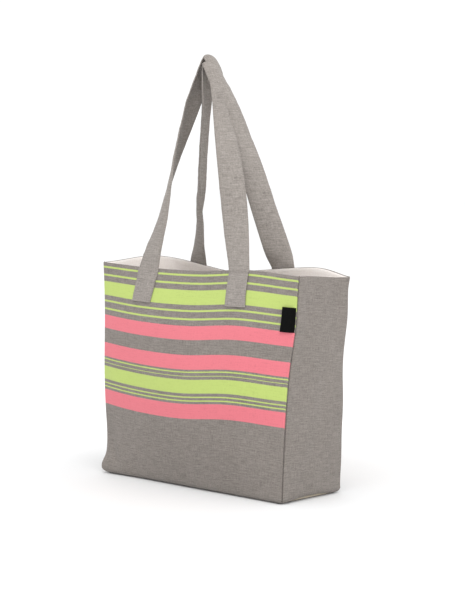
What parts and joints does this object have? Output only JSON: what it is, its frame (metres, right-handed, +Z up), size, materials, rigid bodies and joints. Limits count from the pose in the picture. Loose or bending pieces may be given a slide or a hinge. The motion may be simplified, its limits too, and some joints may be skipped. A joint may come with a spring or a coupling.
{
  "type": "tote bag",
  "caption": "Open-topped canvas tote bag with a striped front, box base, full lining and two shoulder straps that swing from the rim.",
  "frame": {"origin": "middle of the base's underside, on the ground", "axes": "+Z up, +X along the front panel to its right, +Y from the front panel to the back panel"},
  "size_m": [0.416, 0.1704, 0.6533],
  "materials": {
    "striped_canvas": "plain-weave canvas with woven lime and pink stripes",
    "canvas": "slubby grey plain-weave canvas",
    "lining": "light cotton lining",
    "thread": "sewing thread",
    "board": "hidden stiffener board",
    "label": "black woven satin label, plain"
  },
  "bodies": {
    "bag": {"front_panel": "striped_canvas", "back_panel": "striped_canvas", "left_gusset": "canvas", "right_gusset": "canvas", "base_panel": "canvas", "front_lining": "lining", "back_lining": "lining", "left_lining": "lining", "right_lining": "lining", "base_lining": "lining", "base_board": "board", "front_left_tab": "canvas", "front_right_tab": "canvas", "back_left_tab": "canvas", "back_right_tab": "canvas", "front_tab_stitches": "thread", "back_tab_stitches": "thread"},
    "front_strap": {"front_strap": "canvas"},
    "back_strap": {"back_strap": "canvas"},
    "label": {"label": "label"}
  },
  "joints": [
    {"name": "front_strap_swing", "type": "hinge", "parent": "bag", "child": "front_strap", "pos_m": [0, -0.0518, 0.3305], "axis": [1, 0, 0], "range_deg": [0, 120]},
    {"name": "back_strap_swing", "type": "hinge", "parent": "bag", "child": "back_strap", "pos_m": [0, 0.0389, 0.3305], "axis": [-1, 0, 0], "range_deg": [0, 95]},
    {"name": "label_flap", "type": "hinge", "parent": "bag", "child": "label", "pos_m": [0.2016, -0.0579, 0.2605], "axis": [0.0927, 0.0422, 0.9948], "range_deg": [0, 170], "stiffness_Nm_per_rad": 0.0002}
  ]
}
